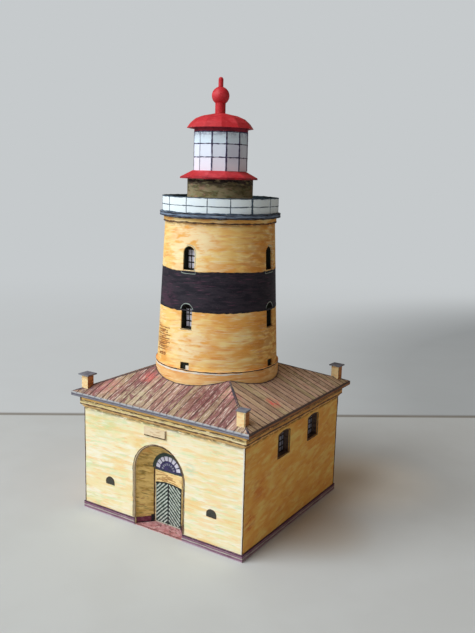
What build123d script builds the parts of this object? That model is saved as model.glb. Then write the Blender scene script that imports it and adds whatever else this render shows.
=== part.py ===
from build123d import *
from math import cos, hypot, radians, sin
import os

# Card model of a lighthouse. Millimetres, +Z up, origin at the centre of the base on the table.
# The front wall with the doorway faces -Y and the wall to its right faces +X.

# sheet stock
card = 0.5  # wall, roof and tower sheet
thin_card = 0.4  # reveals, panes and applied strips
base_card = 0.3  # base sheet and threshold
glue_gap = 0.02  # between curved sheets that are glued face to face

# house
house = 68.0  # outside of the walls, both ways
wall_top = 43.2  # top edge of the walls, under the ceiling sheet
plinth_height = 2.5
plinth_stand_off = 0.4
cornice_low = 38.45
cornice_bend = 39.95  # where the cornice stops leaning out
cornice_stand_off = 1.1

# doorway
portal_half = 10.4  # half width of the opening in the front wall
portal_spring = 20.85  # height where both arches start
door_recess = 5.5  # wall face to door face
inner_half = 5.8  # half width of the opening at the door
door_half = 5.65
door_corner = 15.15  # height of the door at its sides
door_rise = 0.9
lintel_top = 19.95
glue_flap = 0.9  # how far the door sheets reach behind the reveal

# vents and plaque on the front wall
vent_radius = 1.9
vent_low = 12.0
vent_spring = 12.85  # where the round head starts
vent_across = 21.9
plaque_width = 9.4
plaque_height = 3.2
plaque_across = -1.5
plaque_low = 34.25

# windows of the house
window_width = 8.1
window_low = 28.05
window_corner = 36.35
window_rise = 0.7
window_recess = 2.4
window_places = (-8.6, 13.1)  # along a wall, seen from outside, left to right
window_turns = (0, 90, 180)  # right, back and left walls

# roof
eave_half = 37.3
eave_low = wall_top + card
eave_top = 44.6
roof_apex = 59.35  # where the four slopes would meet
eave_strip = 0.4

# chimneys, standing astride the hips; each was glued on and capped a little differently
chimney_width = 3.05
chimney_depth = 2.75
chimney_cap = 0.45
chimney_places = (  # across, along, turn, top of the shaft, how far the cap stands out
    (-33.15, -33.15, -2.0, 50.5, 0.85),
    (32.6, -33.45, 5.0, 50.4, 0.3),
    (33.0, 33.6, -4.0, 50.85, 0.7),
    (-33.1, 33.3, 2.0, 50.55, 0.6),
)

# tower, a slightly tapering cone
taper_low = 55.85
taper_low_radius = 21.9
taper_top = 105.55
taper_top_radius = 19.5
ring_radius = 22.46
ring_top = 55.85
band_low = 76.15
band_top = 89.35
tower_turn = 3.0  # the tower's windows sit a little round from the house's walls
upper_width = 4.5
upper_low = 89.85
upper_top = 97.95
lower_width = 4.3
lower_low = 69.75
lower_top = 78.25
tower_recess = 3.0
slot_width = 3.5
slot_low = 54.45
slot_top = 58.25

# gallery
deck_low = 107.4
deck_top = 108.82
deck_radius = 21.3
parapet_radius = 20.5
parapet_top = 114.15

# lantern
facets = 12  # sides of the glazing and skirt, and gores of the dome
drum_radius = 11.56
skirt_radius = 13.9
skirt_low = 120.65
glazing_radius = 9.55  # out to the folds
glazing_low = 122.9
glazing_top = 136.05
dome_radius = 11.66
dome_low = 137.3
lantern_turn = 15.0  # first fold of the glazing and skirt
dome_turn = 6.0  # first fold of the dome, which was glued on a little askew
dome_profile = ((11.66, 0.0), (10.35, 1.8), (8.6, 3.3), (6.5, 4.15), (4.4, 4.55), (1.9, 5.1))

# the lantern was glued a little off the middle of the tower, its red roofs and finial a little more
lantern_off = Vector(-0.25, -0.16)
roofs_off = Vector(-0.60, -0.38)
finial_off = Vector(-0.70, -0.45)
off_step = (roofs_off - lantern_off).length  # between the lantern and its roofs

# finial
neck_radius = 1.8
ball_radius = 3.05
ball_centre = 148.29
spike_radius = 0.85
spike_top = 154.52

half = house / 2
slope = (roof_apex - eave_top) / eave_half
reveal_skin = thin_card
taper = (taper_low_radius - taper_top_radius) / (taper_top - taper_low)


def tower_radius(height):
    return taper_low_radius - taper * (height - taper_low)


def roof_height(reach):
    return roof_apex - slope * reach


def side_plane(turn, reach):
    # upright plane facing outwards, local X to the right seen from outside, local Y up
    c, s = cos(radians(turn)), sin(radians(turn))
    return Plane(origin=(reach * c, reach * s, 0), x_dir=(-s, c, 0), z_dir=(c, s, 0))


def arch(half_width, low, spring, rise):
    with BuildSketch() as outline:
        with BuildLine():
            Polyline((-half_width, spring), (-half_width, low), (half_width, low), (half_width, spring))
            ThreePointArc((half_width, spring), (0, spring + rise), (-half_width, spring))
        make_face()
    return outline.sketch


os.makedirs("parts", exist_ok=True)

# ---- base sheet and walls -------------------------------------------------------------------
reveal_front = half - card
reveal_back = half - door_recess
with BuildSketch() as doorstep:  # the floor of the doorway
    with BuildLine():
        Polyline((-portal_half, -half), (portal_half, -half), (portal_half, -reveal_front),
                 (inner_half, -reveal_back), (-inner_half, -reveal_back),
                 (-portal_half, -reveal_front), close=True)
    make_face()

with BuildPart() as base_sheet:
    Box(house, house, base_card, align=(Align.CENTER, Align.CENTER, Align.MIN))
    add(doorstep.sketch)
    extrude(amount=base_card, mode=Mode.SUBTRACT)
base_sheet.part.label = "base_sheet"
export_step(base_sheet.part, "parts/base_sheet.step")

with BuildPart() as front_wall:
    with Locations((0, -half + card / 2, base_card)):
        Box(house, card, wall_top - base_card, align=(Align.CENTER, Align.CENTER, Align.MIN))
    with BuildSketch(side_plane(-90, half)):
        add(arch(portal_half, base_card, portal_spring, portal_half))
        with Locations((-vent_across, 0), (vent_across, 0)):
            add(arch(vent_radius, vent_low, vent_spring, vent_radius))
    extrude(amount=-card, mode=Mode.SUBTRACT)
front_wall.part.label = "front_wall"
export_step(front_wall.part, "parts/front_wall.step")

with BuildPart() as back_wall:
    with Locations((0, half - card / 2, base_card)):
        Box(house, card, wall_top - base_card, align=(Align.CENTER, Align.CENTER, Align.MIN))
    with BuildSketch(side_plane(90, half)):
        for place in window_places:
            with Locations((place, 0)):
                add(arch(window_width / 2, window_low, window_corner, window_rise))
    extrude(amount=-card, mode=Mode.SUBTRACT)
back_wall.part.label = "back_wall"
export_step(back_wall.part, "parts/back_wall.step")

with BuildPart() as right_wall:
    with Locations((half - card / 2, 0, base_card)):
        Box(card, house - 2 * card, wall_top - base_card, align=(Align.CENTER, Align.CENTER, Align.MIN))
    with BuildSketch(side_plane(0, half)):
        for place in window_places:
            with Locations((place, 0)):
                add(arch(window_width / 2, window_low, window_corner, window_rise))
    extrude(amount=-card, mode=Mode.SUBTRACT)
right_wall.part.label = "right_wall"
export_step(right_wall.part, "parts/right_wall.step")

with BuildPart() as left_wall:
    with Locations((-half + card / 2, 0, base_card)):
        Box(card, house - 2 * card, wall_top - base_card, align=(Align.CENTER, Align.CENTER, Align.MIN))
    with BuildSketch(side_plane(180, half)):
        for place in window_places:
            with Locations((place, 0)):
                add(arch(window_width / 2, window_low, window_corner, window_rise))
    extrude(amount=-card, mode=Mode.SUBTRACT)
left_wall.part.label = "left_wall"
export_step(left_wall.part, "parts/left_wall.step")

# ---- plinth strips, the front one in two lengths beside the doorway -----------------------------
plinth_half = half + plinth_stand_off
with BuildPart() as plinth_front:
    strip = plinth_half - portal_half
    for hand in (-1, 1):
        with Locations((hand * (portal_half + strip / 2), -half - plinth_stand_off / 2, 0)):
            Box(strip, plinth_stand_off, plinth_height, align=(Align.CENTER, Align.CENTER, Align.MIN))
plinth_front.part.label = "plinth_front"
export_step(plinth_front.part, "parts/plinth_front.step")

with BuildPart() as plinth_back:
    with Locations((0, half + plinth_stand_off / 2, 0)):
        Box(2 * plinth_half, plinth_stand_off, plinth_height, align=(Align.CENTER, Align.CENTER, Align.MIN))
plinth_back.part.label = "plinth_back"
export_step(plinth_back.part, "parts/plinth_back.step")

with BuildPart() as plinth_left:
    with Locations((-half - plinth_stand_off / 2, 0, 0)):
        Box(plinth_stand_off, house, plinth_height, align=(Align.CENTER, Align.CENTER, Align.MIN))
plinth_left.part.label = "plinth_left"
export_step(plinth_left.part, "parts/plinth_left.step")

with BuildPart() as plinth_right:
    with Locations((half + plinth_stand_off / 2, 0, 0)):
        Box(plinth_stand_off, house, plinth_height, align=(Align.CENTER, Align.CENTER, Align.MIN))
plinth_right.part.label = "plinth_right"
export_step(plinth_right.part, "parts/plinth_right.step")

# ---- doorway: splayed reveal, threshold, door, lintel sheet and fanlight ---------------------------
reveal_splay = (portal_half - inner_half) / (reveal_front - reveal_back)
reveal_side = thin_card * hypot(1, reveal_splay)  # sheet thickness measured across the doorway
with BuildPart() as doorway_reveal:
    with BuildSketch(side_plane(-90, reveal_front)):
        add(arch(portal_half + reveal_side, base_card, portal_spring, portal_half + reveal_side))
    with BuildSketch(side_plane(-90, reveal_back)):
        add(arch(inner_half + reveal_side, base_card, portal_spring, inner_half + reveal_side))
    loft(ruled=True)
    with BuildSketch(side_plane(-90, reveal_front)):
        add(arch(portal_half, base_card, portal_spring, portal_half))
    with BuildSketch(side_plane(-90, reveal_back)):
        add(arch(inner_half, base_card, portal_spring, inner_half))
    loft(ruled=True, mode=Mode.SUBTRACT)
doorway_reveal.part.label = "doorway_reveal"
export_step(doorway_reveal.part, "parts/doorway_reveal.step")

with BuildPart() as threshold:
    add(doorstep.sketch)
    extrude(amount=base_card)
threshold.part.label = "threshold"
export_step(threshold.part, "parts/threshold.step")

door_face = side_plane(-90, reveal_back)
with BuildPart() as door_leaves:
    with BuildSketch(door_face):
        add(arch(door_half, base_card, door_corner, door_rise))
    extrude(amount=-card)
door_leaves.part.label = "door_leaves"
export_step(door_leaves.part, "parts/door_leaves.step")

with BuildPart() as door_lintel:
    with BuildSketch(door_face):
        with Locations((0, (base_card + lintel_top) / 2)):
            Rectangle(2 * (inner_half + glue_flap), lintel_top - base_card)
        add(arch(door_half, base_card, door_corner, door_rise), mode=Mode.SUBTRACT)
    extrude(amount=-card)
door_lintel.part.label = "door_lintel"
export_step(door_lintel.part, "parts/door_lintel.step")

with BuildPart() as fanlight:
    with BuildSketch(door_face):
        add(arch(inner_half + glue_flap, lintel_top, portal_spring, inner_half + glue_flap))
    extrude(amount=-card)
fanlight.part.label = "fanlight"
export_step(fanlight.part, "parts/fanlight.step")

# ---- plaque and vents of the front wall --------------------------------------------------------
with BuildPart() as wall_plaque:
    with Locations((plaque_across, -half - thin_card / 2, plaque_low)):
        Box(plaque_width, thin_card, plaque_height, align=(Align.CENTER, Align.CENTER, Align.MIN))
wall_plaque.part.label = "wall_plaque"
export_step(wall_plaque.part, "parts/wall_plaque.step")

with BuildPart() as wall_vents:
    with BuildSketch(side_plane(-90, reveal_front)):
        with Locations((-vent_across, 0), (vent_across, 0)):
            add(arch(vent_radius + glue_flap, vent_low - glue_flap, vent_spring, vent_radius + glue_flap))
    extrude(amount=-thin_card)
wall_vents.part.label = "wall_vents"
export_step(wall_vents.part, "parts/wall_vents.step")

# ---- windows of the house: a reveal glued behind each opening, a pane sheet behind that --------------
outer_half = window_width / 2 + reveal_skin
with BuildPart() as window_reveals:
    for turn in window_turns:
        for place in window_places:
            with BuildSketch(side_plane(turn, half - card)):
                with Locations((place, 0)):
                    add(arch(outer_half, window_low - reveal_skin, window_corner,
                             window_rise + reveal_skin))
                    add(arch(window_width / 2, window_low, window_corner, window_rise),
                        mode=Mode.SUBTRACT)
            extrude(amount=card - window_recess)
window_reveals.part.label = "window_reveals"
export_step(window_reveals.part, "parts/window_reveals.step")

with BuildPart() as window_panes:
    for turn in window_turns:
        for place in window_places:
            with BuildSketch(side_plane(turn, half - window_recess)):
                with Locations((place, 0)):
                    add(arch(outer_half, window_low - reveal_skin, window_corner,
                             window_rise + reveal_skin))
            extrude(amount=-thin_card)
window_panes.part.label = "window_panes"
export_step(window_panes.part, "parts/window_panes.step")

# ---- cornice under the eaves, folded round the walls ----------------------------------------------
cornice_half = half + cornice_stand_off
with BuildPart() as wall_cornice:
    with BuildSketch(Plane.XY.offset(cornice_low)):
        Rectangle(house, house)
    with BuildSketch(Plane.XY.offset(cornice_bend)):
        Rectangle(2 * cornice_half, 2 * cornice_half)
    loft(ruled=True)
    with Locations((0, 0, cornice_bend)):
        Box(2 * cornice_half, 2 * cornice_half, wall_top - cornice_bend,
            align=(Align.CENTER, Align.CENTER, Align.MIN))
    with Locations((0, 0, cornice_low)):
        Box(house, house, wall_top - cornice_low, align=(Align.CENTER, Align.CENTER, Align.MIN),
            mode=Mode.SUBTRACT)
wall_cornice.part.label = "wall_cornice"
export_step(wall_cornice.part, "parts/wall_cornice.step")

ceiling_half = eave_half - eave_strip
with BuildPart() as ceiling_sheet:
    with Locations((0, 0, wall_top)):
        Box(2 * ceiling_half, 2 * ceiling_half, card, align=(Align.CENTER, Align.CENTER, Align.MIN))
ceiling_sheet.part.label = "ceiling_sheet"
export_step(ceiling_sheet.part, "parts/ceiling_sheet.step")

with BuildPart() as eave_edge:
    with Locations((0, 0, wall_top)):
        Box(2 * eave_half, 2 * eave_half, eave_top - wall_top,
            align=(Align.CENTER, Align.CENTER, Align.MIN))
        Box(2 * ceiling_half, 2 * ceiling_half, eave_top - wall_top,
            align=(Align.CENTER, Align.CENTER, Align.MIN), mode=Mode.SUBTRACT)
eave_edge.part.label = "eave_edge"
export_step(eave_edge.part, "parts/eave_edge.step")

# ---- roof slopes, mitred on the hips, with a round hole for the tower -----------------------------------
roof_reach = eave_half - eave_strip
roof_drop = card * hypot(1, slope)  # sheet thickness measured straight down
tower_hole = tower_radius(roof_height(ring_radius) - roof_drop) + 0.05
roofs = {}
for name, turn in (("roof_right", 0), ("roof_back", 90), ("roof_left", 180), ("roof_front", 270)):
    with BuildPart() as roof:
        with BuildSketch(Plane.XZ):
            with BuildLine():
                Polyline((0, roof_apex), (roof_reach, roof_height(roof_reach)),
                         (roof_reach, roof_height(roof_reach) - roof_drop), (0, roof_apex - roof_drop),
                         close=True)
            make_face()
        extrude(amount=eave_half, both=True)
        with BuildSketch(Plane.XY):
            with BuildLine():
                Polyline((0, 0), (roof_reach, -roof_reach), (roof_reach, roof_reach), close=True)
            make_face()
        extrude(amount=2 * roof_apex, mode=Mode.INTERSECT)
        Cylinder(tower_hole, 2 * roof_apex, mode=Mode.SUBTRACT,
                 align=(Align.CENTER, Align.CENTER, Align.MIN))
    roofs[name] = roof.part.rotate(Axis.Z, turn)
    roofs[name].label = name
    export_step(roofs[name], "parts/" + name + ".step")

# ---- chimneys: hollow shafts cut to the hips, each with an overhanging cap -------------------------------
with BuildPart() as roof_block:
    with BuildSketch(Plane.XY.offset(eave_top - slope * 4)):
        Rectangle(2 * eave_half + 8, 2 * eave_half + 8)
    with BuildSketch(Plane.XY.offset(roof_apex - slope * 0.1)):
        Rectangle(0.2, 0.2)
    loft(ruled=True)

chimney_low = eave_top + 0.2  # shafts start inside the roof and are cut back to its surface
with BuildPart() as chimney_shafts:
    for across, along, turn, top, overhang in chimney_places:
        with Locations(Location((across, along, chimney_low), (0, 0, turn))):
            Box(chimney_width, chimney_depth, top - chimney_low,
                align=(Align.CENTER, Align.CENTER, Align.MIN))
            Box(chimney_width - 2 * thin_card, chimney_depth - 2 * thin_card, top - chimney_low,
                align=(Align.CENTER, Align.CENTER, Align.MIN), mode=Mode.SUBTRACT)
    add(roof_block.part, mode=Mode.SUBTRACT)
chimney_shafts.part.label = "chimney_shafts"
export_step(chimney_shafts.part, "parts/chimney_shafts.step")

with BuildPart() as chimney_caps:
    for across, along, turn, top, overhang in chimney_places:
        with Locations(Location((across, along, top), (0, 0, turn))):
            Box(chimney_width + 2 * overhang, chimney_depth + 2 * overhang, chimney_cap,
                align=(Align.CENTER, Align.CENTER, Align.MIN))
chimney_caps.part.label = "chimney_caps"
export_step(chimney_caps.part, "parts/chimney_caps.step")

# ---- tower: three lengths of tapering sheet, one above the other -----------------------------------------
tower_foot = eave_low
tower_turns = [tower_turn + 90 * k for k in range(4)]


def tower_openings(width, low, top):
    # arch outline of one tower opening, semicircular at its head
    return arch(width / 2, low, top - width / 2, width / 2)


with BuildPart() as tower_wall_lower:
    with BuildSketch(Plane.XZ):
        with BuildLine():
            Polyline((tower_radius(tower_foot), tower_foot), (tower_radius(band_low), band_low),
                     (tower_radius(band_low) - card, band_low), (tower_radius(tower_foot) - card, tower_foot),
                     close=True)
        make_face()
    revolve(axis=Axis.Z)
    for turn in tower_turns:
        with BuildSketch(side_plane(turn, 10)):
            add(tower_openings(lower_width, lower_low, lower_top))
            with Locations((0, (slot_low + slot_top) / 2)):
                Rectangle(slot_width, slot_top - slot_low)
        extrude(amount=20, mode=Mode.SUBTRACT)
tower_wall_lower.part.label = "tower_wall_lower"
export_step(tower_wall_lower.part, "parts/tower_wall_lower.step")

with BuildPart() as tower_band:
    with BuildSketch(Plane.XZ):
        with BuildLine():
            Polyline((tower_radius(band_low), band_low), (tower_radius(band_top), band_top),
                     (tower_radius(band_top) - card, band_top), (tower_radius(band_low) - card, band_low),
                     close=True)
        make_face()
    revolve(axis=Axis.Z)
    for turn in tower_turns:
        with BuildSketch(side_plane(turn, 10)):
            add(tower_openings(lower_width, lower_low, lower_top))
        extrude(amount=20, mode=Mode.SUBTRACT)
tower_band.part.label = "tower_band"
export_step(tower_band.part, "parts/tower_band.step")

with BuildPart() as tower_wall_upper:
    with BuildSketch(Plane.XZ):
        with BuildLine():
            Polyline((tower_radius(band_top), band_top), (tower_radius(taper_top), taper_top),
                     (tower_radius(taper_top) - card, taper_top), (tower_radius(band_top) - card, band_top),
                     close=True)
        make_face()
    revolve(axis=Axis.Z)
    for turn in tower_turns:
        with BuildSketch(side_plane(turn, 10)):
            add(tower_openings(upper_width, upper_low, upper_top))
        extrude(amount=20, mode=Mode.SUBTRACT)
tower_wall_upper.part.label = "tower_wall_upper"
export_step(tower_wall_upper.part, "parts/tower_wall_upper.step")

with BuildPart() as tower_ring:
    with BuildSketch(Plane.XZ):
        with BuildLine():
            ring_foot = roof_height(ring_radius) - 1
            Polyline((tower_radius(ring_foot) + glue_gap, ring_foot), (ring_radius, ring_foot),
                     (ring_radius, ring_top), (tower_radius(ring_top) + glue_gap, ring_top), close=True)
        make_face()
    revolve(axis=Axis.Z)
    add(roof_block.part, mode=Mode.SUBTRACT)
tower_ring.part.label = "tower_ring"
export_step(tower_ring.part, "parts/tower_ring.step")

# reveals behind the tower's window openings, their outer ends cut to the inside of the wall
tower_windows = ((upper_width, upper_low, upper_top), (lower_width, lower_low, lower_top))
with BuildPart() as tower_window_reveals:
    for width, low, top in tower_windows:
        pane_reach = tower_radius((low + top) / 2) - tower_recess
        for turn in tower_turns:
            with BuildSketch(side_plane(turn, pane_reach)):
                add(tower_openings(width + 2 * reveal_skin, low - reveal_skin, top + reveal_skin))
                add(tower_openings(width, low, top), mode=Mode.SUBTRACT)
            extrude(amount=2 * tower_recess)
    with BuildSketch(Plane.XZ):
        with BuildLine():
            Polyline((0, tower_foot), (tower_radius(tower_foot) - card - glue_gap, tower_foot),
                     (tower_radius(taper_top) - card - glue_gap, taper_top), (0, taper_top), close=True)
        make_face()
    revolve(axis=Axis.Z, mode=Mode.INTERSECT)
tower_window_reveals.part.label = "tower_window_reveals"
export_step(tower_window_reveals.part, "parts/tower_window_reveals.step")

with BuildPart() as tower_window_panes:
    for width, low, top in tower_windows:
        pane_reach = tower_radius((low + top) / 2) - tower_recess
        for turn in tower_turns:
            with BuildSketch(side_plane(turn, pane_reach)):
                add(tower_openings(width + 2 * reveal_skin, low - reveal_skin, top + reveal_skin))
            extrude(amount=-thin_card)
tower_window_panes.part.label = "tower_window_panes"
export_step(tower_window_panes.part, "parts/tower_window_panes.step")

with BuildPart() as tower_vent_panels:
    panel_half = slot_width / 2 + 0.6
    inner_radius = tower_radius(slot_top + 0.6) - card - glue_gap
    panel_reach = (inner_radius**2 - panel_half**2) ** 0.5
    for turn in tower_turns:
        with BuildSketch(side_plane(turn, panel_reach)):
            with Locations((0, (slot_low + slot_top) / 2)):
                Rectangle(2 * panel_half, slot_top - slot_low + 1.2)
        extrude(amount=-thin_card)
tower_vent_panels.part.label = "tower_vent_panels"
export_step(tower_vent_panels.part, "parts/tower_vent_panels.step")

with BuildPart() as tower_cornice:
    with Locations((0, 0, taper_top)):
        Cylinder(taper_top_radius + 0.45, deck_low - taper_top,
                 align=(Align.CENTER, Align.CENTER, Align.MIN))
        Cylinder(taper_top_radius - card, deck_low - taper_top,
                 align=(Align.CENTER, Align.CENTER, Align.MIN), mode=Mode.SUBTRACT)
tower_cornice.part.label = "tower_cornice"
export_step(tower_cornice.part, "parts/tower_cornice.step")

# ---- gallery ------------------------------------------------------------------------------------
with BuildPart() as gallery_deck:
    with Locations((0, 0, deck_low)):
        Cylinder(deck_radius, deck_top - deck_low, align=(Align.CENTER, Align.CENTER, Align.MIN))
gallery_deck.part.label = "gallery_deck"
export_step(gallery_deck.part, "parts/gallery_deck.step")

with BuildPart() as gallery_parapet:
    with Locations((0, 0, deck_top)):
        Cylinder(parapet_radius, parapet_top - deck_top, align=(Align.CENTER, Align.CENTER, Align.MIN))
        Cylinder(parapet_radius - card, parapet_top - deck_top,
                 align=(Align.CENTER, Align.CENTER, Align.MIN), mode=Mode.SUBTRACT)
gallery_parapet.part.label = "gallery_parapet"
export_step(gallery_parapet.part, "parts/gallery_parapet.step")

# ---- lantern: round drum, folded skirt roof, folded glazing, band and gored dome ---------------------
facet_flat = cos(radians(180 / facets))  # fold radius to the middle of a facet
skirt_slope = (glazing_low - skirt_low) / (skirt_radius - glazing_radius)
skirt_drop = card * hypot(1, skirt_slope)
drum_top = skirt_low + skirt_slope * (skirt_radius - (drum_radius + off_step) / facet_flat) - skirt_drop
with BuildPart() as lantern_drum:
    with Locations(lantern_off + Vector(0, 0, deck_top)):
        Cylinder(drum_radius, drum_top - deck_top, align=(Align.CENTER, Align.CENTER, Align.MIN))
        Cylinder(drum_radius - card, drum_top - deck_top,
                 align=(Align.CENTER, Align.CENTER, Align.MIN), mode=Mode.SUBTRACT)
lantern_drum.part.label = "lantern_drum"
export_step(lantern_drum.part, "parts/lantern_drum.step")


def folded_ring(points, first_fold):
    # sheet of the given section folded round the lantern in equal flat facets
    reach = 30
    wide = reach * sin(radians(180 / facets)) / facet_flat
    with BuildPart() as facet:
        with BuildSketch(Plane.XZ):
            with BuildLine():
                Polyline(*[(r * facet_flat, z) for r, z in points], close=True)
            make_face()
        extrude(amount=reach, both=True)
        with BuildSketch(Plane.XY):
            with BuildLine():
                Polyline((0, 0), (reach, -wide), (reach, wide), close=True)
            make_face()
        extrude(amount=2 * spike_top, mode=Mode.INTERSECT)
    with BuildPart() as ring:
        with PolarLocations(0, facets, start_angle=first_fold + 180 / facets):
            add(facet.part)
    return ring.part.moved(Location(roofs_off))


glazing_inside = glazing_radius - card / facet_flat
skirt_in = glazing_inside - off_step  # the skirt reaches in under the whole foot of the glazing
skirt_section = ((skirt_radius, skirt_low), (glazing_radius, glazing_low), (skirt_in, glazing_low),
                 (skirt_in, glazing_low - skirt_drop), (glazing_radius, glazing_low - skirt_drop),
                 (skirt_radius, skirt_low - skirt_drop))
lantern_skirt = folded_ring(skirt_section, lantern_turn)
lantern_skirt.label = "lantern_skirt"
export_step(lantern_skirt, "parts/lantern_skirt.step")

with BuildSketch() as glazing_wall:
    with Locations(lantern_off):
        RegularPolygon(glazing_radius, facets, rotation=lantern_turn)
        RegularPolygon(glazing_inside, facets, rotation=lantern_turn, mode=Mode.SUBTRACT)

with BuildPart() as lantern_glazing:
    with BuildSketch(Plane.XY.offset(glazing_low)):
        add(glazing_wall.sketch)
    extrude(amount=glazing_top - glazing_low)
lantern_glazing.part.label = "lantern_glazing"
export_step(lantern_glazing.part, "parts/lantern_glazing.step")


def dome_height(reach):
    # outside of the dome above its eave, at this radius along a fold
    for (outer, low), (inner, high) in zip(dome_profile, dome_profile[1:]):
        if inner <= reach <= outer:
            return low + (high - low) * (outer - reach) / (outer - inner)


# the band carries on up inside the dome, which rests on its top edge
band_seat = dome_low + dome_height((glazing_radius + off_step) / facet_flat) - card
with BuildPart() as lantern_band:
    with BuildSketch(Plane.XY.offset(glazing_top)):
        add(glazing_wall.sketch)
    extrude(amount=band_seat - glazing_top)
lantern_band.part.label = "lantern_band"
export_step(lantern_band.part, "parts/lantern_band.step")

dome_outer = [(r, dome_low + z) for r, z in dome_profile]
dome_inner = [(r, z - card) for r, z in reversed(dome_outer[1:])]
lantern_dome = folded_ring(dome_outer + [(0, dome_outer[-1][1]), (0, dome_outer[-1][1] - card)]
                           + dome_inner + [(dome_radius - card, dome_low)], dome_turn)
lantern_dome.label = "lantern_dome"
export_step(lantern_dome, "parts/lantern_dome.step")

# ---- finial -----------------------------------------------------------------------------------------
neck_low = dome_low + dome_profile[-1][1]
neck_top = ball_centre - (ball_radius**2 - neck_radius**2) ** 0.5
with BuildPart() as finial_neck:
    with Locations(finial_off + Vector(0, 0, neck_low)):
        Cylinder(neck_radius, neck_top - neck_low, align=(Align.CENTER, Align.CENTER, Align.MIN))
finial_neck.part.label = "finial_neck"
export_step(finial_neck.part, "parts/finial_neck.step")

ball_top = ball_centre + (ball_radius**2 - spike_radius**2) ** 0.5
finial_axis = Axis(finial_off, (0, 0, 1))
with BuildPart() as finial_ball:
    with BuildSketch(Plane.XZ.offset(-finial_off.Y).shift_origin((finial_off.X, finial_off.Y, 0))):
        with BuildLine():
            Line((0, neck_top), (neck_radius, neck_top))
            ThreePointArc((neck_radius, neck_top), (ball_radius, ball_centre), (spike_radius, ball_top))
            Polyline((spike_radius, ball_top), (0, ball_top), (0, neck_top))
        make_face()
    revolve(axis=finial_axis)
finial_ball.part.label = "finial_ball"
export_step(finial_ball.part, "parts/finial_ball.step")

with BuildPart() as finial_spike:
    with BuildSketch(Plane.XZ.offset(-finial_off.Y).shift_origin((finial_off.X, finial_off.Y, 0))):
        with BuildLine():
            Polyline((0, ball_top), (spike_radius, ball_top), (spike_radius, spike_top - spike_radius))
            ThreePointArc((spike_radius, spike_top - spike_radius),
                          (spike_radius * cos(radians(45)), spike_top - spike_radius * (1 - sin(radians(45)))),
                          (0, spike_top))
            Line((0, spike_top), (0, ball_top))
        make_face()
    revolve(axis=finial_axis)
finial_spike.part.label = "finial_spike"
export_step(finial_spike.part, "parts/finial_spike.step")
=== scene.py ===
import bmesh
import bpy
import math
import random
from mathutils import Matrix, Vector


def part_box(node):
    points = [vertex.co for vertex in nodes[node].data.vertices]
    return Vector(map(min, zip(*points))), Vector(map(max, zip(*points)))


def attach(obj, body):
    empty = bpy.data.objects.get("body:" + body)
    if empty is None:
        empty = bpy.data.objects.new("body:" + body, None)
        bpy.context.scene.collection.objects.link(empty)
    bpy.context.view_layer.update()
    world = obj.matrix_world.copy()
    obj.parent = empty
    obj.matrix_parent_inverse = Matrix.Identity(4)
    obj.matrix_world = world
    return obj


# Hand-coloured card lighthouse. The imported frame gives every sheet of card; this script colours the
# sheets as if with pencils and lays the pen lines, panes and boards on them. Lengths are millimetres.

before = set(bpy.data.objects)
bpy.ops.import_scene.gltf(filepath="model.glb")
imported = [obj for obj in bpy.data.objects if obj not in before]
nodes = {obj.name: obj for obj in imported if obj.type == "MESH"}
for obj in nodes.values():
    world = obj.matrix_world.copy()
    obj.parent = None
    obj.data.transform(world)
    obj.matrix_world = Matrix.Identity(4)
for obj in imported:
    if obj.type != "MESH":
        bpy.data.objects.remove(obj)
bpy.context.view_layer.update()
mm = 0.001
inkLift = 0.05  # how proud a drawn line stands
overLift = 0.09  # a line drawn over other ink
print("frame loaded,", len(nodes), "sheets")


# places and sizes are read from the sheets
def low(node):
    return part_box(node)[0] / mm


def high(node):
    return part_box(node)[1] / mm


def turned(turn):
    return math.cos(math.radians(turn)), math.sin(math.radians(turn))


def solids(node):
    # the corner points of each separate piece of card in a node
    mesh = nodes[node].data
    keys = [tuple(round(c / mm, 3) for c in v.co) for v in mesh.vertices]
    joined = {key: key for key in keys}

    def first(key):
        while joined[key] != key:
            joined[key] = joined[joined[key]]
            key = joined[key]
        return key

    for edge in mesh.edges:
        a, b = (first(keys[k]) for k in edge.vertices)
        joined[a] = b
    found = {}
    for key in dict.fromkeys(keys):
        found.setdefault(first(key), []).append(Vector(key))
    return list(found.values())


def squareOn(points, turns):
    # a flat piece seen from outside: which way it faces, how far out, and the box of its outline
    centre = sum(points, Vector()) / len(points)
    facing = math.degrees(math.atan2(centre.y, centre.x))
    turn = min(turns, key=lambda t: abs((facing - t + 180) % 360 - 180))
    c, s = turned(turn)
    outs = [p.x * c + p.y * s for p in points]
    sides = [p.y * c - p.x * s for p in points]
    ups = [p.z for p in points]
    return dict(turn=turn, reach=max(outs), thick=max(outs) - min(outs), at=(min(sides) + max(sides)) / 2,
                half=(max(sides) - min(sides)) / 2, foot=min(ups), head=max(ups))


wallTurns = (0, 90, 180, -90)  # right, back, left and front
towerTurns = (3, 93, 183, -87)  # the tower's windows are a little round from the walls
wallReach = -low("front_wall").y
cardThick = wallReach + high("front_wall").y
plinthReach = -low("plinth_front").y
plinthTop = high("plinth_front").z
corniceFoot = low("wall_cornice").z
corniceReach = high("wall_cornice").x
doorReach = -low("door_leaves").y
floorCard = high("threshold").z
portalHalf = min(abs(p.x) for points in solids("plinth_front") for p in points)
jambEnd = high("door_leaves").x + 0.15  # where the splayed side meets the door sheet
jambDepth = math.hypot(portalHalf - jambEnd, wallReach - cardThick - doorReach)
eaveReach = high("eave_edge").x
eaveTop = high("eave_edge").z
roofSlope = (high("roof_right").z - eaveTop) / (eaveReach - low("roof_right").x)  # fall for each step out
bandLow = low("tower_band").z
bandTop = high("tower_band").z
towerTop = high("tower_wall_upper").z
towerTaper = ((high("tower_wall_lower").x - high("tower_band").x)
              / (bandLow - low("tower_wall_lower").z))
ringReach = high("tower_ring").x
ringTop = high("tower_ring").z
glazingTop = low("lantern_band").z


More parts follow.
